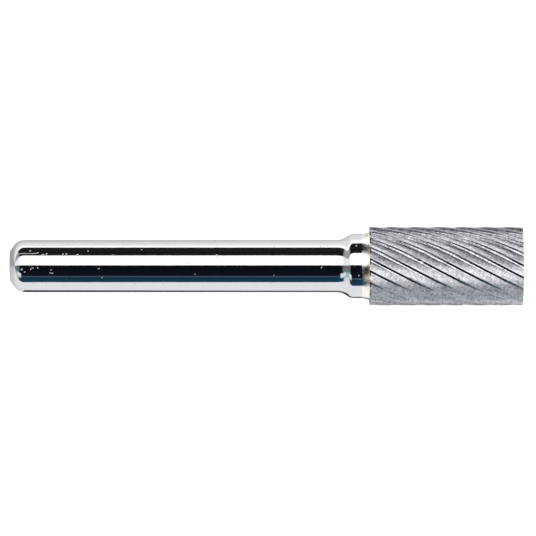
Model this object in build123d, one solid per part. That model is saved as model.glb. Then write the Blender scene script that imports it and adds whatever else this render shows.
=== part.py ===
"""Rotary burr: a cylindrical, right-hand fluted carbide head brazed to a polished steel shank.

Units are millimetres. +X runs along the spin axis from the tail to the cutting head, +Z is up,
and the origin is the centre of the flat face at the tail of the shank.
Every sub-part is written to parts/NODE.step in its assembled position.
"""
import os
from math import cos, degrees, radians, sin, tan

from build123d import *

INCH = 25.4

# Overall sizes: nominally a 3/8 inch by 3/4 inch head on a 1/4 inch shank, 2-1/2 inches long.
# The shank is ground to its nominal size. The other sizes are up to 2% off, as on a real burr.
OVERALL_LENGTH = 62.5
SHANK_RADIUS = INCH / 8
HEAD_RADIUS = 4.80
HEAD_LENGTH = 18.70
HEAD_REAR_X = OVERALL_LENGTH - HEAD_LENGTH

# Tail of the shank: a flat face and a steep lead-in chamfer that rounds into the straight grip.
TAIL_FACE_RADIUS = 1.85
TAIL_FACE_BLEND = 0.35
TAIL_CHAMFER_LENGTH = 0.95
TAIL_SHOULDER_BLEND = 1.6

# Flare and collar behind the head.
FLARE_START_X = 40.43
FLARE_END_X = 41.50
FLARE_FOOT_BLEND = 2.2
FLARE_TOP_BLEND = 1.0
COLLAR_RADIUS = 3.90

# Brazed joint: a blind pocket in the head, a spigot on the shank and the filler between them.
BRAZE_GAP = 0.10
SPIGOT_RADIUS = 2.0
SPIGOT_LENGTH = 3.0
SPIGOT_CHAMFER = 0.3
FILLET_START_X = 42.75
FILLET_RADIUS = 4.15
FILLET_SAG = 0.05
COLLAR_FRONT_X = HEAD_REAR_X - BRAZE_GAP

# Flutes: each tooth back climbs to a narrow land and a cutting edge, a radial rake face drops
# from the edge to a shallow gullet floor, and the floor blends into the next tooth back.
FLUTE_COUNT = 20
HELIX_ANGLE = 28.0
RAKE_DEPTH = 0.46
RAKE_FILLET = 0.07
ROOT_DEPTH = 0.52
ROOT_WIDTH = 0.34
ROOT_BLEND = 0.50
LAND_WIDTH = 0.04
BACK_STEPS = 3
FIRST_EDGE_ANGLE = 5.8
REAR_CHAMFER = 0.08
FRONT_CHAMFER = 0.10

# Values that follow from the sizes above.
FLUTE_PITCH = 360 / FLUTE_COUNT
HEAD_TWIST = degrees(HEAD_LENGTH * tan(radians(HELIX_ANGLE)) / HEAD_RADIUS)
LAND_ANGLE = degrees(LAND_WIDTH / HEAD_RADIUS)
ROOT_ANGLE = degrees(ROOT_WIDTH / HEAD_RADIUS)
POCKET_RADIUS = SPIGOT_RADIUS + BRAZE_GAP
POCKET_END_X = COLLAR_FRONT_X + SPIGOT_LENGTH + BRAZE_GAP


def turned(points):
    """Solid of revolution about the spin axis from (x, radius) points."""
    outline = Polyline(*[(x, radius) for x, radius in points], close=True)
    return revolve(make_face(outline), axis=Axis.X, revolution_arc=360)


def ring_edges(solid, x, radius):
    """Circular edges of a turned solid at one station along the spin axis."""
    circles = solid.edges().filter_by(GeomType.CIRCLE)
    return circles.filter_by(
        lambda edge: abs(edge.center(CenterOf.BOUNDING_BOX).X - x) < 1e-4
        and abs(edge.radius - radius) < 1e-4
    )


def make_shank():
    """Steel shank: chamfered tail, straight grip, flare, collar and spigot."""
    body = turned([
        (0, 0),
        (0, TAIL_FACE_RADIUS),
        (TAIL_CHAMFER_LENGTH, SHANK_RADIUS),
        (FLARE_START_X, SHANK_RADIUS),
        (FLARE_END_X, COLLAR_RADIUS),
        (COLLAR_FRONT_X, COLLAR_RADIUS),
        (COLLAR_FRONT_X, SPIGOT_RADIUS),
        (COLLAR_FRONT_X + SPIGOT_LENGTH - SPIGOT_CHAMFER, SPIGOT_RADIUS),
        (COLLAR_FRONT_X + SPIGOT_LENGTH, SPIGOT_RADIUS - SPIGOT_CHAMFER),
        (COLLAR_FRONT_X + SPIGOT_LENGTH, 0),
    ])
    for x, radius, blend in (
        (0, TAIL_FACE_RADIUS, TAIL_FACE_BLEND),
        (TAIL_CHAMFER_LENGTH, SHANK_RADIUS, TAIL_SHOULDER_BLEND),
        (FLARE_START_X, SHANK_RADIUS, FLARE_FOOT_BLEND),
        (FLARE_END_X, COLLAR_RADIUS, FLARE_TOP_BLEND),
    ):
        body = fillet(ring_edges(body, x, radius), blend)
    return body


def make_braze_joint():
    """Silver braze: disc on the collar face, sleeve and cap round the spigot, outer fillet."""
    spigot_end_x = COLLAR_FRONT_X + SPIGOT_LENGTH
    sleeve = turned([
        (COLLAR_FRONT_X, SPIGOT_RADIUS),
        (spigot_end_x - SPIGOT_CHAMFER, SPIGOT_RADIUS),
        (spigot_end_x, SPIGOT_RADIUS - SPIGOT_CHAMFER),
        (spigot_end_x, 0),
        (POCKET_END_X, 0),
        (POCKET_END_X, POCKET_RADIUS),
        (HEAD_REAR_X, POCKET_RADIUS),
        (HEAD_REAR_X, COLLAR_RADIUS),
        (COLLAR_FRONT_X, COLLAR_RADIUS),
    ])
    meniscus = SagittaArc((FILLET_START_X, COLLAR_RADIUS), (HEAD_REAR_X, FILLET_RADIUS), -FILLET_SAG)
    foot = Polyline(
        (HEAD_REAR_X, FILLET_RADIUS),
        (HEAD_REAR_X, COLLAR_RADIUS),
        (FILLET_START_X, COLLAR_RADIUS),
    )
    outer_fillet = revolve(make_face(meniscus + foot), axis=Axis.X, revolution_arc=360)
    return sleeve + outer_fillet


def polar(radius, angle):
    """Section point at a radius and an angle in degrees."""
    return radius * cos(radians(angle)), radius * sin(radians(angle))


def corners_at(section, radius):
    """Corners of a flat section that lie at one radius."""
    return section.vertices().filter_by(
        lambda vertex: abs(Vector(vertex.X, vertex.Y).length - radius) < 1e-4
    )


def tooth_section():
    """Cross-section of the fluted head: one sawtooth per flute, with blended gullet roots."""
    rake_foot_radius = HEAD_RADIUS - RAKE_DEPTH
    root_radius = HEAD_RADIUS - ROOT_DEPTH
    back_angle = FLUTE_PITCH - LAND_ANGLE - ROOT_ANGLE
    points = []
    for index in range(FLUTE_COUNT):
        edge_angle = FIRST_EDGE_ANGLE + index * FLUTE_PITCH
        points.append(polar(HEAD_RADIUS, edge_angle))
        points.append(polar(rake_foot_radius, edge_angle))
        for step in range(BACK_STEPS + 1):
            share = step / BACK_STEPS
            angle = edge_angle + ROOT_ANGLE + back_angle * share
            points.append(polar(root_radius + ROOT_DEPTH * share, angle))
    section = make_face(Polyline(*points, close=True))
    section = fillet(corners_at(section, rake_foot_radius), RAKE_FILLET)
    return fillet(corners_at(section, root_radius), ROOT_BLEND)


def make_carbide_head():
    """Fluted carbide cylinder with chamfered ends and a blind pocket for the spigot."""
    rear_plane = Plane(origin=(HEAD_REAR_X, 0, 0), x_dir=(0, 1, 0), z_dir=(1, 0, 0))
    section = rear_plane * tooth_section()
    fluted = Solid.extrude_linear_with_rotation(
        section.face(),
        center=(HEAD_REAR_X, 0, 0),
        normal=(HEAD_LENGTH, 0, 0),
        angle=HEAD_TWIST,
    )
    clear_radius = HEAD_RADIUS + 0.5
    envelope = turned([
        (HEAD_REAR_X, 0),
        (HEAD_REAR_X, HEAD_RADIUS - REAR_CHAMFER),
        (HEAD_REAR_X + REAR_CHAMFER + 0.5, clear_radius),
        (OVERALL_LENGTH - FRONT_CHAMFER - 0.5, clear_radius),
        (OVERALL_LENGTH, HEAD_RADIUS - FRONT_CHAMFER),
        (OVERALL_LENGTH, 0),
    ])
    pocket = turned([
        (HEAD_REAR_X, 0),
        (HEAD_REAR_X, POCKET_RADIUS),
        (POCKET_END_X, POCKET_RADIUS),
        (POCKET_END_X, 0),
    ])
    return (fluted & envelope) - pocket


if __name__ == "__main__":
    os.makedirs("parts", exist_ok=True)
    export_step(make_shank(), "parts/shank.step")
    export_step(make_braze_joint(), "parts/braze_joint.step")
    export_step(make_carbide_head(), "parts/carbide_head.step")
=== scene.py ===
"""Looks of the rotary burr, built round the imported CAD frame.

Everything is in metres in the frame's axes: +X from the shank's tail to the cutting head, +Z up.
Mesh code below works in millimetres and is scaled once, when a mesh is made.
"""
import math
import random

import bpy
import numpy as np
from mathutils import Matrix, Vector, noise


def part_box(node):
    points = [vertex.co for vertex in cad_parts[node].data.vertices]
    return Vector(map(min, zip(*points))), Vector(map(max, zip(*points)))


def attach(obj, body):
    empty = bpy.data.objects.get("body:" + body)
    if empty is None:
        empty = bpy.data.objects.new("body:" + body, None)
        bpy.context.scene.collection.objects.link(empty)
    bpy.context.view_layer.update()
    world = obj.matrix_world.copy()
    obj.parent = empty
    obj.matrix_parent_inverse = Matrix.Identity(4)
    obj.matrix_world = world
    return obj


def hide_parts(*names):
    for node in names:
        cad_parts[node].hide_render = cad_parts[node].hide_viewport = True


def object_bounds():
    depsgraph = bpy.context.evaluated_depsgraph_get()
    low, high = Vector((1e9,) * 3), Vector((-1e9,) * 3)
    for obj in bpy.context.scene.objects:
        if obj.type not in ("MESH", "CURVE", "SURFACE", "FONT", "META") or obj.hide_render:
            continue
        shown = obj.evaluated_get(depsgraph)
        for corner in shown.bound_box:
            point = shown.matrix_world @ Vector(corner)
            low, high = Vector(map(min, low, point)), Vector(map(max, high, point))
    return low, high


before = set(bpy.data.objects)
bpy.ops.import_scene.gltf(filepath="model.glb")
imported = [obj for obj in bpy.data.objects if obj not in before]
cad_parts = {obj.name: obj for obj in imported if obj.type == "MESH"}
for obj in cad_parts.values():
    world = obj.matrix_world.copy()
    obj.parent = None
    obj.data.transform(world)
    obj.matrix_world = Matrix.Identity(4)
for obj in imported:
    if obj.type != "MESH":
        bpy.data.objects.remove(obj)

CAD_LOW, CAD_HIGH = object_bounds()
MM = 0.001
random.seed(20)

# Places read from the frame, in millimetres.
SHANK_LOW, SHANK_HIGH = (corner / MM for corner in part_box("shank"))
HEAD_LOW, HEAD_HIGH = (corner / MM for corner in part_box("carbide_head"))
BRAZE_LOW, BRAZE_HIGH = (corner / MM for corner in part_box("braze_joint"))
TAIL_X = SHANK_LOW.x
HEAD_X = HEAD_LOW.x
HEAD_LENGTH = HEAD_HIGH.x - HEAD_LOW.x
HEAD_RADIUS = HEAD_HIGH.z
COLLAR_RADIUS = SHANK_HIGH.z
BEAD_RADIUS = BRAZE_HIGH.z
SPIGOT_END_X = SHANK_HIGH.x
POCKET_END_X = BRAZE_HIGH.x

# Shape of the turned pieces.
SHANK_RADIUS = 3.175
TAIL_FACE_RADIUS = 1.85
TAIL_FACE_BLEND = 0.35
TAIL_CHAMFER_X = TAIL_X + 0.95
TAIL_SHOULDER_BLEND = 1.6
FLARE_START_X = 40.43
FLARE_END_X = 41.50
FLARE_FOOT_BLEND = 2.2
FLARE_TOP_BLEND = 1.0
COLLAR_FRONT_X = HEAD_X - 0.10
SPIGOT_RADIUS = 2.0
SPIGOT_CHAMFER = 0.3
POCKET_RADIUS = 2.1
BEAD_START_X = BRAZE_LOW.x
BEAD_SAG = 0.05
BEAD_BACKING = 0.04

# Shape of the teeth.
FLUTE_COUNT = 20
HELIX_ANGLE = math.radians(28.0)
FIRST_EDGE_ANGLE = math.radians(5.8)
RAKE_DEPTH = 0.46
RAKE_FILLET = 0.07
ROOT_DEPTH = 0.52
ROOT_WIDTH = 0.34
ROOT_BLEND = 0.50
LAND_WIDTH = 0.04
EDGE_ROUNDING = 0.03
REAR_CHAMFER = 0.08
FRONT_CHAMFER = 0.10
FLUTE_PITCH = 2 * math.pi / FLUTE_COUNT
TWIST_PER_MM = math.tan(HELIX_ANGLE) / HEAD_RADIUS
CHIP_COUNT = 46

# Texture places on the head: the shift from one flute to the next, which keeps their marks
# unlike, and the place and depth that stand for the round rings of the pocket and front face.
FLUTE_TEXTURE_SHIFT = 37.0
END_TEXTURE_PLACE = 500
END_TEXTURE_DEPTH = 0.1
FRONT_FACE_RINGS = (3.4, 1.6)

# Fineness of the meshes: segments and arc steps of turned pieces, steps across the bead and up
# a tooth back, and the spacing of the head's points along its axis and across a tooth.
LATHE_SEGMENTS = 256
PROFILE_ARC_STEPS = 14
TOOTH_ARC_STEPS = 4
BEAD_STEPS = 16
BACK_STEPS = 8
HEAD_RING_SPACING = 0.125
TOOTH_POINT_SPACING = 0.16

# Camera: its height above the burr's axis, the width of its view at that axis, and how far the
# view's centre is from the centre of the burr, all in metres. The sensor is in millimetres.
CAMERA_HEIGHT = 0.80
VIEW_WIDTH = 0.06534
VIEW_OFFSET_X = 0.20 * MM
VIEW_OFFSET_Y = -0.244 * MM
SENSOR_WIDTH = 36

# Marks on the shank: place along it, degrees round it from +Z towards -Y, length, width and
# tilt in degrees.
SHANK_NICKS = (
    (2.56, -35, 0.30, 0.14, 20), (2.2, -28.5, 2.9, 0.10, 0), (4.1, -25.5, 0.45, 0.12, 10),
    (4.55, -27, 0.22, 0.20, 0), (6.56, -27, 0.26, 0.14, 25), (8.38, -26, 0.16, 0.12, 0),
    (5.13, 8.5, 0.16, 0.16, 0), (5.15, 15.5, 0.60, 0.12, -5), (1.55, 7, 0.30, 0.30, 30),
    (1.9, 13, 0.20, 0.16, 0), (2.9, 4, 0.26, 0.14, -35), (10.9, 5.5, 0.30, 0.12, 20),
    (37.98, 2.4, 0.34, 0.08, 58), (42.18, -39, 0.18, 0.18, 0), (42.5, 17, 0.20, 0.14, 30),
)


# ---------------------------------------------------------------- mesh helpers

def rounded(corners, steps):
    """Points of an outline given as (x, y, fillet radius) corners, with each fillet as an arc."""
    points = [Vector(corners[0][:2])]
    for before, corner, after in zip(corners, corners[1:], corners[2:]):
        at, radius = Vector(corner[:2]), corner[2]
        if radius <= 0:
            points.append(at)
            continue
        back = (Vector(before[:2]) - at).normalized()
        ahead = (Vector(after[:2]) - at).normalized()
        half = back.angle(ahead) / 2
        reach = radius / math.tan(half)
        centre = at + (back + ahead).normalized() * (radius / math.sin(half))
        start = at + back * reach - centre
        end = at + ahead * reach - centre
        turn = start.angle_signed(end)
        for step in range(steps + 1):
            angle = -turn * step / steps
            spoke = Vector((
                start.x * math.cos(angle) - start.y * math.sin(angle),
                start.x * math.sin(angle) + start.y * math.cos(angle),
            ))
            points.append(centre + spoke)
    points.append(Vector(corners[-1][:2]))
    return points


def new_piece(name, vertices, faces, material, nodes):
    """Mesh object from millimetre vertices, riding on the burr and standing for CAD nodes."""
    mesh = bpy.data.meshes.new(name)
    mesh.from_pydata((np.asarray(vertices) * MM).tolist(), [], faces)
    mesh.update()
    mesh.polygons.foreach_set("use_smooth", [True] * len(mesh.polygons))
    mesh.set_sharp_from_angle(angle=math.radians(32))
    piece = bpy.data.objects.new(name, mesh)
    bpy.context.scene.collection.objects.link(piece)
    mesh.materials.append(material)
    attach(piece, "root")
    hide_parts(*nodes)
    return piece


def lathe(profile, wobble=None):
    """Vertices and faces of an (x, radius) profile turned about X. Both ends lie on the axis."""
    vertices = [(profile[0].x, 0, 0)]
    rings = profile[1:-1]
    for index, point in enumerate(rings):
        for segment in range(LATHE_SEGMENTS):
            angle = 2 * math.pi * segment / LATHE_SEGMENTS
            x, radius = wobble(index, point, angle) if wobble else point
            vertices.append((x, radius * math.cos(angle), radius * math.sin(angle)))
    vertices.append((profile[-1].x, 0, 0))
    last = len(vertices) - 1
    faces = []
    for segment in range(LATHE_SEGMENTS):
        after = (segment + 1) % LATHE_SEGMENTS
        faces.append((0, 1 + segment, 1 + after))
        for ring in range(len(rings) - 1):
            base = 1 + ring * LATHE_SEGMENTS
            above = base + LATHE_SEGMENTS
            faces.append((base + segment, above + segment, above + after, base + after))
        base = 1 + (len(rings) - 1) * LATHE_SEGMENTS
        faces.append((last, base + after, base + segment))
    return vertices, faces


# ---------------------------------------------------------------- materials

class Nodes:
    """Short way to add and link nodes in one material or world.

    A value given to a method is a number, a colour or the output socket of another node.
    """

    def __init__(self, owner):
        owner.use_nodes = True
        self.tree = owner.node_tree
        self.tree.nodes.clear()

    def add(self, kind, values=None, **settings):
        node = self.tree.nodes.new("ShaderNode" + kind)
        for key, value in settings.items():
            setattr(node, key, value)
        for key, value in (values or {}).items():
            if isinstance(value, bpy.types.NodeSocket):
                self.tree.links.new(value, node.inputs[key])
            else:
                node.inputs[key].default_value = value
        return node

    def math(self, operation, a, b=0.0):
        return self.add("Math", {0: a, 1: b}, operation=operation).outputs[0]

    def remap(self, value, low, high, to_low=0.0, to_high=1.0):
        """Smooth step from to_low at low to to_high at high, where low may be above high."""
        values = {"Value": value, 1: low, 2: high, 3: to_low, 4: to_high}
        return self.add("MapRange", values, interpolation_type="SMOOTHSTEP").outputs[0]

    def mix(self, factor, a, b):
        node = self.add("Mix", data_type="RGBA")
        for socket, value in ((node.inputs[0], factor), (node.inputs[6], a), (node.inputs[7], b)):
            if isinstance(value, bpy.types.NodeSocket):
                self.tree.links.new(value, socket)
            else:
                socket.default_value = value
        return node.outputs[2]

    def total(self, first, *others):
        for other in others:
            first = self.math("ADD", first, other)
        return first

    def noise(self, vector, scale, detail=3.0, roughness=0.55):
        values = {"Vector": vector, "Scale": scale, "Detail": detail, "Roughness": roughness}
        return self.add("TexNoise", values).outputs[0]

    def stretched(self, vector, scale):
        return self.add("Mapping", {"Vector": vector, "Scale": scale}).outputs[0]

    def bump(self, height, distance, normal=None):
        values = {"Height": height, "Distance": distance, "Strength": 1.0}
        if normal is not None:
            values["Normal"] = normal
        return self.add("Bump", values).outputs[0]

    def finish_metal(self, base, rough, normal):
        """Metal surface from its colour, roughness and normal."""
        shader = self.add("BsdfPrincipled", {
            "Base Color": base, "Metallic": 1.0, "Roughness": rough, "Normal": normal,
        })
        self.add("OutputMaterial", {0: shader.outputs[0]})


def steel_material():
    """Polished, centreless-ground steel: fine marks round it, with nicks mostly near the tail."""
    material = bpy.data.materials.new("polished_steel")
    n = Nodes(material)
    place = n.add("TexCoord").outputs["Object"]
    along = n.add("SeparateXYZ", {0: place}).outputs[0]
    rings = n.noise(n.stretched(place, (9000, 260, 260)), 1.0, 4.0)
    cloud = n.noise(place, 420.0, 3.0)
    grain = n.noise(n.stretched(place, (2600, 4200, 4200)), 1.0, 3.0)

    # Fine pits: some cells hold one, more of them near the tail.
    near_tail = n.remap(along, 30 * MM, 2 * MM)
    cells = n.add("TexVoronoi", {"Vector": place, "Scale": 2300.0})
    pick = n.add("SeparateColor", {0: cells.outputs["Color"]}).outputs[0]
    rate = n.math("ADD", 0.03, n.math("MULTIPLY", near_tail, 0.09))
    chosen = n.math("LESS_THAN", pick, rate)
    pits = n.math("MULTIPLY", n.remap(cells.outputs["Distance"], 0.26, 0.08), chosen)
    nicks = 0.0
    for x, around, length, width, tilt in SHANK_NICKS:
        nicks = n.math("MAXIMUM", nicks, nick_mask(n, place, x, around, length, width, tilt))
    worn = n.math("MAXIMUM", pits, nicks)

    base = n.mix(cloud, (0.60, 0.605, 0.62, 1), (0.66, 0.665, 0.675, 1))
    base = n.mix(n.math("MULTIPLY", rings, 0.25), base, (0.52, 0.53, 0.55, 1))
    rough = n.remap(rings, 0.35, 0.75, 0.045, 0.10)
    rough = n.math("ADD", rough, n.math("MULTIPLY", worn, 0.40))
    normal = n.bump(rings, 1.2e-6)
    normal = n.bump(cloud, 6.0e-6, normal=normal)
    normal = n.bump(grain, 0.7e-6, normal=normal)
    normal = n.bump(n.math("SUBTRACT", 1.0, worn), 1.6e-5, normal=normal)
    n.finish_metal(base, rough, normal)
    return material


def nick_mask(n, place, x, around, length, width, tilt):
    """1 inside an oval mark on the shank or collar, fading to 0 at its rim."""
    radius = SHANK_RADIUS if x < FLARE_START_X else COLLAR_RADIUS
    turn = math.radians(around)
    centre = (x * MM, -radius * math.sin(turn) * MM, radius * math.cos(turn) * MM)
    local = n.add("Mapping", {
        "Vector": place, "Location": centre, "Rotation": (turn, 0, math.radians(tilt)),
        "Scale": (length / 2 * MM, width / 2 * MM, 1 * MM),
    }, vector_type="TEXTURE").outputs[0]
    reach = n.add("VectorMath", {0: local}, operation="LENGTH").outputs["Value"]
    return n.remap(reach, 1.0, 0.55)


def braze_material():
    """Silver braze: bright and creamy, with a brown-olive heat tint near the head."""
    material = bpy.data.materials.new("silver_braze")
    n = Nodes(material)
    place = n.add("TexCoord").outputs["Object"]
    along, aside = n.add("SeparateXYZ", {0: place}).outputs[0:2]
    cloud = n.noise(place, 900.0, 4.0)
    fine = n.noise(place, 5200.0, 3.0)

    # The heat tint shows in clouds all round, and in full on a stretch of the -Y side.
    near_head = n.remap(along, (HEAD_X - 0.85) * MM, (HEAD_X - 0.35) * MM)
    inner_end = n.remap(aside, 0.5 * MM, -0.4 * MM)
    outer_end = n.remap(aside, -2.9 * MM, -1.9 * MM)
    patch = n.math("MULTIPLY", inner_end, outer_end)
    patch = n.math("MAXIMUM", n.remap(cloud, 0.50, 0.66), patch)
    tint = n.math("MULTIPLY", near_head, patch)

    base = n.mix(cloud, (0.86, 0.85, 0.82, 1), (0.78, 0.76, 0.70, 1))
    base = n.mix(n.math("MULTIPLY", tint, 0.8), base, (0.42, 0.33, 0.13, 1))
    base = n.mix(n.math("MULTIPLY", fine, 0.25), base, (0.66, 0.64, 0.58, 1))
    rough = n.remap(cloud, 0.3, 0.7, 0.16, 0.34)
    normal = n.bump(cloud, 1.6e-5)
    normal = n.bump(fine, 2.0e-6, normal=normal)
    n.finish_metal(base, rough, normal)
    return material


def carbide_material():
    """Ground cemented carbide: satin tooth backs, smoother gullets with painted shade in them, and a
    painted highlight on the edges.

    The mesh attribute flute_place gives millimetres along the flute, across it from the cutting
    edge, and below the edge.
    """
    material = bpy.data.materials.new("ground_carbide")
    n = Nodes(material)
    flute = n.add("Attribute", attribute_name="flute_place").outputs["Vector"]
    across, depth = n.add("SeparateXYZ", {0: flute}).outputs[1:3]

    # Grinding lines run along the flute, ticks run across it, and grain has no direction.
    lines = n.noise(n.stretched(flute, (0.6, 3.6, 2.0)), 1.0, 4.0, 0.65)
    ticks = n.noise(n.stretched(flute, (4.2, 1.0, 1.0)), 1.0, 4.0, 0.65)
    patches = n.noise(n.stretched(flute, (0.35, 0.6, 0.4)), 1.0, 2.0)
    place = n.add("TexCoord").outputs["Object"]
    grain = n.noise(place, 3600.0, 3.0, 0.7)
    tone = n.total(
        n.math("MULTIPLY", n.remap(lines, 0.38, 0.62), 0.34),
        n.math("MULTIPLY", n.remap(ticks, 0.38, 0.62), 0.30),
        n.math("MULTIPLY", n.remap(grain, 0.40, 0.60), 0.36),
    )

    # Painted shade: the gullet floor is darkened a little, and its mouth at the head's rear nearly to
    # black.
    along = n.add("SeparateXYZ", {0: place}).outputs[0]
    mouth = n.remap(along, (HEAD_X + 0.22) * MM, (HEAD_X + 0.08) * MM)
    mouth = n.math("MULTIPLY", mouth, n.remap(depth, 0.24, 0.38))
    floor = n.math("MULTIPLY", n.remap(across, 0.04, 0.10), n.remap(across, 0.25, 0.18))
    dark = n.math("MAXIMUM", n.math("MULTIPLY", floor, 0.25), n.math("MULTIPLY", mouth, 0.95))

    # Painted highlight: the base colour is lightened near the cutting edges.
    edge = n.remap(depth, 0.09, 0.03)
    gullet = n.remap(across, 0.50, 0.40)
    base = n.mix(tone, (0.24, 0.245, 0.265, 1), (0.93, 0.935, 0.95, 1))
    base = n.mix(n.math("MULTIPLY", patches, 0.25), base, (0.64, 0.64, 0.67, 1))
    base = n.mix(n.math("MULTIPLY", edge, 0.65), base, (0.80, 0.80, 0.81, 1))
    # Painted shade in the gullet floor and mouths is mixed in here.
    base = n.mix(dark, base, (0.02, 0.02, 0.02, 1))
    rough = n.remap(ticks, 0.3, 0.7, 0.38, 0.46)
    rough = n.math("SUBTRACT", rough, n.math("MULTIPLY", gullet, 0.31))
    normal = n.bump(lines, 1.1e-5)
    normal = n.bump(ticks, 1.0e-5, normal=normal)
    normal = n.bump(grain, 9.0e-6, normal=normal)
    n.finish_metal(base, rough, normal)
    return material


def floor_material():
    """Plain pale translucent sheet, lit a little from below so that shadows on it stay faint; its
    glow holds painted shade beside the burr.
    """
    material = bpy.data.materials.new("pale_sheet")
    n = Nodes(material)
    place = n.add("TexCoord").outputs["Object"]
    fibre = n.noise(place, 1500.0, 3.0)
    base = n.mix(fibre, (0.33, 0.33, 0.335, 1), (0.35, 0.35, 0.35, 1))
    aside = n.add("SeparateXYZ", {0: place}).outputs[1]
    # Painted shade: the glow is weakest in strips close beside the burr, as the burr's shade on the
    # sheet, and grows further out; the burr reflects these strips.
    glow = n.total(
        n.remap(aside, 3 * MM, 11 * MM, 0.26, 0.85),
        n.remap(aside, 1 * MM, -1 * MM, 0.0, 0.25),
        n.remap(aside, 0.0, -12 * MM, 0.0, 0.4),
        n.remap(aside, 14 * MM, 35 * MM, 0.0, 0.5),
    )
    seen = n.add("LightPath").outputs["Is Camera Ray"]
    glow = n.math("MAXIMUM", glow, n.math("MULTIPLY", seen, 0.95))
    shader = n.add("BsdfPrincipled", {
        "Base Color": base, "Roughness": 0.9, "Specular IOR Level": 0.0,
        "Emission Color": (1, 1, 1, 1), "Emission Strength": glow,
    })
    n.add("OutputMaterial", {0: shader.outputs[0]})
    return material


def card_material(colour):
    """Plain matt card, used as painted shade beside the burr."""
    material = bpy.data.materials.new("card")
    n = Nodes(material)
    place = n.add("TexCoord").outputs["Object"]
    fibre = n.noise(place, 900.0, 3.0)
    base = n.mix(n.math("MULTIPLY", fibre, 0.03), colour, (0.5, 0.5, 0.6, 1))
    shader = n.add("BsdfPrincipled", {"Base Color": base, "Roughness": 0.8})
    n.add("OutputMaterial", {0: shader.outputs[0]})
    return material


# ---------------------------------------------------------------- pieces

def make_shank():
    """Turned steel shank with its chamfered tail, flare, collar and hidden spigot."""
    profile = rounded([
        (TAIL_X, 0, 0),
        (TAIL_X, TAIL_FACE_RADIUS, TAIL_FACE_BLEND),
        (TAIL_CHAMFER_X, SHANK_RADIUS, TAIL_SHOULDER_BLEND),
        (FLARE_START_X, SHANK_RADIUS, FLARE_FOOT_BLEND),
        (FLARE_END_X, COLLAR_RADIUS, FLARE_TOP_BLEND),
        (COLLAR_FRONT_X, COLLAR_RADIUS, 0),
        (COLLAR_FRONT_X, SPIGOT_RADIUS, 0),
        (SPIGOT_END_X - SPIGOT_CHAMFER, SPIGOT_RADIUS, 0),
        (SPIGOT_END_X, SPIGOT_RADIUS - SPIGOT_CHAMFER, 0),
        (SPIGOT_END_X, 0, 0),
    ], steps=PROFILE_ARC_STEPS)
    vertices, faces = lathe(profile)
    new_piece("steel_shank", vertices, faces, steel_material(), ["shank"])


def make_braze():
    """Braze bead with a slightly uneven foot, and the film round the spigot."""
    start, end = Vector((BEAD_START_X, COLLAR_RADIUS)), Vector((HEAD_X, BEAD_RADIUS))
    chord = end - start
    inward = Vector((chord.y, -chord.x)).normalized()
    bead = []
    for step in range(BEAD_STEPS + 1):
        share = step / BEAD_STEPS
        bead.append(start + chord * share + inward * (4 * BEAD_SAG * share * (1 - share)))
    profile = [
        Vector((SPIGOT_END_X, 0)),
        Vector((SPIGOT_END_X, SPIGOT_RADIUS - SPIGOT_CHAMFER)),
        Vector((SPIGOT_END_X - SPIGOT_CHAMFER, SPIGOT_RADIUS)),
        Vector((COLLAR_FRONT_X, SPIGOT_RADIUS)),
        Vector((COLLAR_FRONT_X, COLLAR_RADIUS - BEAD_BACKING)),
        Vector((BEAD_START_X, COLLAR_RADIUS - BEAD_BACKING)),
        *bead,
        Vector((HEAD_X, POCKET_RADIUS)),
        Vector((POCKET_END_X, POCKET_RADIUS)),
        Vector((POCKET_END_X, 0)),
    ]
    # Ring of the bead's hidden back, BEAD_BACKING below the collar's surface, under its foot.
    foot_ring = 4

    def wobble(index, point, angle):
        """Uneven bead: its foot wanders along the collar, and it is a little lumpy up to the head."""
        step = index - foot_ring
        if not 0 <= step <= BEAD_STEPS:
            return point
        share = 1 - step / BEAD_STEPS
        turn = Vector((math.cos(angle), math.sin(angle), 0.0))
        shift = noise.noise(turn * 2.3) * 0.12 + noise.noise(turn * 7.0) * 0.04
        lift = noise.noise(turn * 4.0 + Vector((0, 0, share * 2))) * 0.02 * (1 - share)
        return Vector((point.x + shift * share, point.y + lift - 0.01 * share))

    vertices, faces = lathe(profile, wobble)
    new_piece("braze_bead", vertices, faces, braze_material(), ["braze_joint"])


def tooth_outline():
    """Points of one tooth's section, from its cutting edge round the gullet to the next land."""
    def at(radius, angle):
        return radius * math.cos(angle), radius * math.sin(angle)

    land = LAND_WIDTH / HEAD_RADIUS
    root = ROOT_WIDTH / HEAD_RADIUS
    foot = HEAD_RADIUS - ROOT_DEPTH
    back = []
    for step in range(2, BACK_STEPS + 1):
        share = step / BACK_STEPS
        angle = root + (FLUTE_PITCH - land - root) * share
        back.append((*at(foot + (HEAD_RADIUS - foot) * share, angle), 0))
    return rounded([
        (*at(HEAD_RADIUS, -land), 0),
        (*at(HEAD_RADIUS, 0), EDGE_ROUNDING),
        (*at(HEAD_RADIUS - RAKE_DEPTH, 0), RAKE_FILLET),
        (*at(foot, root), ROOT_BLEND),
        *back,
        (*at(HEAD_RADIUS, FLUTE_PITCH), 0),
    ], steps=TOOTH_ARC_STEPS)[1:-1]


def refined(points, longest):
    """Points with extra ones between any two that are further apart than longest."""
    result = [points[0]]
    for before, after in zip(points, points[1:]):
        parts = max(1, math.ceil((after - before).length / longest))
        for part in range(1, parts + 1):
            result.append(before.lerp(after, part / parts))
    return result


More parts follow.
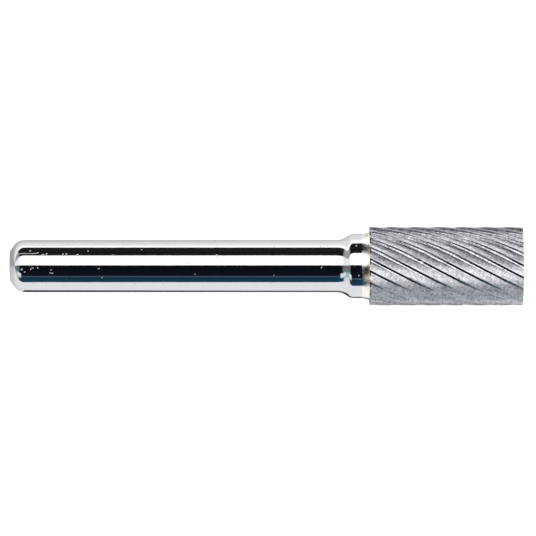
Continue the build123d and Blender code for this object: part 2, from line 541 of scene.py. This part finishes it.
def make_head():
    """Twisted fluted head with chamfered ends, small chips on its edges and a blind pocket."""
    tooth = refined(tooth_outline(), TOOTH_POINT_SPACING)
    radius = np.array([point.length for point in tooth] * FLUTE_COUNT)
    offset = np.array([math.atan2(point.y, point.x) for point in tooth])
    offset = np.concatenate([offset + FLUTE_PITCH * index for index in range(FLUTE_COUNT)])
    owner = np.repeat(np.arange(FLUTE_COUNT), len(tooth))
    from_edge = (offset - FLUTE_PITCH * owner) * HEAD_RADIUS
    pitch = FLUTE_PITCH * HEAD_RADIUS
    columns = len(radius)

    # Chips on the cutting edges: tooth, place along the head, width and depth.
    chips = []
    for _ in range(CHIP_COUNT):
        chips.append((
            random.randrange(FLUTE_COUNT), random.uniform(0.2, HEAD_LENGTH - 0.2),
            random.uniform(0.06, 0.18), random.uniform(0.015, 0.06),
        ))

    count = round((HEAD_LENGTH - REAR_CHAMFER - FRONT_CHAMFER) / HEAD_RING_SPACING)
    span = np.linspace(REAR_CHAMFER, HEAD_LENGTH - FRONT_CHAMFER, count + 1)
    stations = [0, REAR_CHAMFER / 2, *span, HEAD_LENGTH - FRONT_CHAMFER / 2, HEAD_LENGTH]
    vertices, places = [], []
    for along in stations:
        cone = min(
            HEAD_RADIUS - REAR_CHAMFER + along,
            HEAD_RADIUS - FRONT_CHAMFER + (HEAD_LENGTH - along),
            HEAD_RADIUS,
        )
        ring = radius.copy()
        for tooth_index, centre, width, drop in chips:
            if abs(along - centre) < 3 * width:
                lag = np.where(from_edge > pitch / 2, from_edge - pitch, from_edge)
                nearest = np.where(from_edge > pitch / 2, (owner + 1) % FLUTE_COUNT, owner)
                close = np.exp(-((along - centre) / width) ** 2 - (lag / (width * 1.2)) ** 2)
                ring -= np.where(nearest == tooth_index, drop * close, 0)
        ring = np.minimum(ring, cone)
        angle = FIRST_EDGE_ANGLE + offset + TWIST_PER_MM * along
        x = np.full(columns, HEAD_X + along)
        vertices.append(np.stack([x, ring * np.cos(angle), ring * np.sin(angle)], axis=1))
        run = along / math.cos(HELIX_ANGLE) + from_edge * math.sin(HELIX_ANGLE)
        across = from_edge * math.cos(HELIX_ANGLE)
        run = run + owner * FLUTE_TEXTURE_SHIFT
        places.append(np.stack([run, across, HEAD_RADIUS - ring], axis=1))

    def extra_ring(x, ring_radius, twist):
        """Round ring of the pocket or the front face, with its own place in the texture."""
        angle = FIRST_EDGE_ANGLE + offset + twist
        rim = np.full(columns, float(ring_radius))
        x = np.full(columns, float(x))
        ring = np.stack([x, rim * np.cos(angle), rim * np.sin(angle)], axis=1)
        run = ring[:, 1] * 0.3 + END_TEXTURE_PLACE
        depth = np.full(columns, END_TEXTURE_DEPTH)
        return ring, np.stack([run, ring[:, 2], depth], axis=1)

    full_twist = TWIST_PER_MM * HEAD_LENGTH
    layers = [
        extra_ring(POCKET_END_X, POCKET_RADIUS * 0.5, 0),
        extra_ring(POCKET_END_X, POCKET_RADIUS, 0),
        extra_ring(HEAD_X, POCKET_RADIUS, 0),
        *zip(vertices, places),
        *(extra_ring(HEAD_HIGH.x, face_radius, full_twist) for face_radius in FRONT_FACE_RINGS),
    ]
    points = np.concatenate([layer[0] for layer in layers])
    place = np.concatenate([layer[1] for layer in layers])
    faces = []
    for ring in range(len(layers) - 1):
        base, above = ring * columns, (ring + 1) * columns
        for column in range(columns):
            after = (column + 1) % columns
            faces.append((base + column, above + column, above + after, base + after))
    first_centre, last_centre = len(points), len(points) + 1
    points = np.vstack([points, [POCKET_END_X, 0, 0], [HEAD_HIGH.x, 0, 0]])
    centre_place = [END_TEXTURE_PLACE, 0, END_TEXTURE_DEPTH]
    place = np.vstack([place, centre_place, centre_place])
    top = (len(layers) - 1) * columns
    for column in range(columns):
        after = (column + 1) % columns
        faces.append((first_centre, column, after))
        faces.append((last_centre, top + after, top + column))
    piece = new_piece(
        "fluted_head", points, faces, carbide_material(), ["carbide_head"]
    )
    layer = piece.data.attributes.new("flute_place", "FLOAT_VECTOR", "POINT")
    layer.data.foreach_set("vector", place.astype(np.float32).ravel())


# ---------------------------------------------------------------- stage, light and camera

def make_floor():
    """Pale floor that the burr lies on, and two cards of painted shade on the floor's -Y side.

    The floor tilts so that it touches the shank near its tail and the head's rear edge.
    """
    tail = Vector((TAIL_X + 1.5, 0, -SHANK_RADIUS)) * MM
    head = Vector((HEAD_X + REAR_CHAMFER, 0, -HEAD_RADIUS)) * MM
    slope = math.atan2(head.z - tail.z, head.x - tail.x)
    size = 1.4
    corners = [(-size, -size, 0), (size, -size, 0), (size, size, 0), (-size, size, 0)]
    floor = stage_sheet("floor", corners, floor_material())
    floor.rotation_euler = (0, -slope, 0)
    floor.location = head

    # Painted shade: a dark card lies beside the shank as the burr's shadow on the floor, and a grey
    # one beside the head as paler shade there. They show only in reflections. Their edges are
    # millimetres from the head's rear along X, and from the axis.
    near = -1.0
    for name, low, high, far, material in (
        ("painted_shadow_card", 1.2 - HEAD_X, -0.2, -7.0, card_material((0.010, 0.010, 0.030, 1))),
        ("painted_shade_card", 0.2, HEAD_LENGTH + 4, -60.0, card_material((0.45, 0.42, 0.43, 1))),
    ):
        outline = ((low, far), (high, far), (high, near), (low, near))
        corners = [(x * MM, y * MM, 0) for x, y in outline]
        card = stage_sheet(name, corners, material)
        card.rotation_euler = (0, -slope, 0)
        card.location = head + Vector((0, 0, 0.05 * MM))
        card.visible_camera = False
        card.visible_diffuse = False
        card.visible_shadow = False


def stage_sheet(name, corners, material):
    """Flat four-cornered sheet, in metres, that belongs to the stage and not to the burr."""
    mesh = bpy.data.meshes.new(name)
    mesh.from_pydata(corners, [], [(0, 1, 2, 3)])
    mesh.materials.append(material)
    sheet = bpy.data.objects.new(name, mesh)
    bpy.context.scene.collection.objects.link(sheet)
    return sheet


def light_ramp(n, share, stops):
    """Light by direction round X, from (degrees from straight up towards +Y, colour) stops."""
    ramp = n.add("ValToRGB", {0: share})
    elements = ramp.color_ramp.elements
    while len(elements) > 1:
        elements.remove(elements[-1])
    for index, (degrees, colour) in enumerate(stops):
        element = elements[0] if index == 0 else elements.new(degrees / 360 + 0.5)
        element.position = degrees / 360 + 0.5
        element.color = (*colour, 1)
    return ramp.outputs[0]


def make_light():
    """Soft studio light: a broad softbox on the +Y side, dark flags and a pale tent all round.

    What a surface reflects depends on which way along X it leans, so the light has one ramp for
    what the straight shank reflects, one for the tooth backs and one for the tail's shoulder.
    """
    tent = (1.05, 1.06, 1.1)
    world = bpy.data.worlds.new("studio")
    bpy.context.scene.world = world
    n = Nodes(world)
    direction = n.add("TexCoord").outputs["Generated"]
    x, y, z = n.add("SeparateXYZ", {0: direction}).outputs
    angle = n.math("ARCTAN2", y, z)
    share = n.math("ADD", n.math("DIVIDE", angle, 2 * math.pi), 0.5)

    shank_side = light_ramp(n, share, [
        (-180, (1.20, 1.20, 1.24)), (-80, (1.20, 1.18, 1.26)), (-78, (1.15, 1.13, 1.2)),
        (-76, (0.012, 0.075, 0.12)), (-52, (0.010, 0.045, 0.08)), (-48, (0.09, 0.17, 0.22)),
        (-44, (0.008, 0.010, 0.022)), (2.5, (0.004, 0.004, 0.006)), (4.5, (1.9, 1.9, 1.9)),
        (46, (1.9, 1.9, 1.9)), (48, (0.012, 0.012, 0.014)), (90, (0.02, 0.02, 0.024)),
        (92, (1.5, 1.5, 1.55)), (180, (1.3, 1.3, 1.3)),
    ])
    tooth_side = light_ramp(n, share, [
        (-180, (0.60, 0.58, 0.62)), (-80, (0.50, 0.48, 0.52)), (-76, (0.05, 0.09, 0.12)),
        (-64, (0.05, 0.09, 0.12)), (-60, (0.62, 0.70, 0.75)), (-46, (0.62, 0.70, 0.75)),
        (-42, (0.006, 0.06, 0.09)), (-26, (0.006, 0.06, 0.09)), (-12, (0.006, 0.008, 0.010)),
        (-2, (0.006, 0.006, 0.008)), (0, (1.75, 1.75, 1.75)), (44, (1.75, 1.75, 1.75)),
        (48, (0.55, 0.53, 0.58)), (88, (0.55, 0.53, 0.58)), (92, (1.5, 1.5, 1.55)),
        (180, (1.3, 1.3, 1.3)),
    ])
    tail_end = light_ramp(n, share, [
        (-180, tent), (-72, tent), (-62, (0.45, 0.70, 0.78)),
        (-36, (0.14, 0.42, 0.50)), (-30, (0.26, 0.25, 0.26)), (2, (0.22, 0.21, 0.22)),
        (5, (1.3, 1.3, 1.3)), (45, (1.3, 1.3, 1.3)), (49, (0.50, 0.48, 0.52)),
        (88, (0.55, 0.54, 0.58)), (95, tent), (180, tent),
    ])
    light = n.mix(n.remap(x, 0.12, 0.24), shank_side, tooth_side)
    light = n.mix(n.remap(x, 0.42, 0.62), light, (*tent, 1))
    light = n.mix(n.remap(x, -0.56, -0.74), light, tail_end)

    # A bright gap between the flags on the tail's side lights the gullets of the upper flutes.
    off_gap = n.math("ABSOLUTE", n.math("ADD", angle, math.radians(46)))
    gap = n.remap(off_gap, math.radians(13), math.radians(8))
    gap = n.math("MULTIPLY", gap, n.remap(x, -0.34, -0.46))
    gap = n.math("MULTIPLY", gap, n.remap(x, -0.90, -0.82))
    light = n.mix(gap, light, (1.1, 1.12, 1.16, 1))

    seen = n.add("LightPath").outputs["Is Camera Ray"]
    light = n.mix(seen, light, (1.2, 1.2, 1.2, 1))
    background = n.add("Background", {"Color": light, "Strength": 1.0})
    n.add("OutputWorld", {0: background.outputs[0]})


def make_camera():
    """Camera straight above the burr, with +X to the right and a long lens."""
    data = bpy.data.cameras.new("camera")
    data.sensor_width = SENSOR_WIDTH
    data.lens = SENSOR_WIDTH * CAMERA_HEIGHT / VIEW_WIDTH
    data.clip_start, data.clip_end = 0.01, 10
    camera = bpy.data.objects.new("camera", data)
    bpy.context.scene.collection.objects.link(camera)
    middle = (CAD_LOW + CAD_HIGH) / 2
    camera.location = (middle.x + VIEW_OFFSET_X, middle.y + VIEW_OFFSET_Y, CAMERA_HEIGHT)
    bpy.context.scene.camera = camera


make_shank()
make_braze()
make_head()
make_floor()
make_light()
make_camera()
bpy.context.scene.view_settings.view_transform = "Standard"
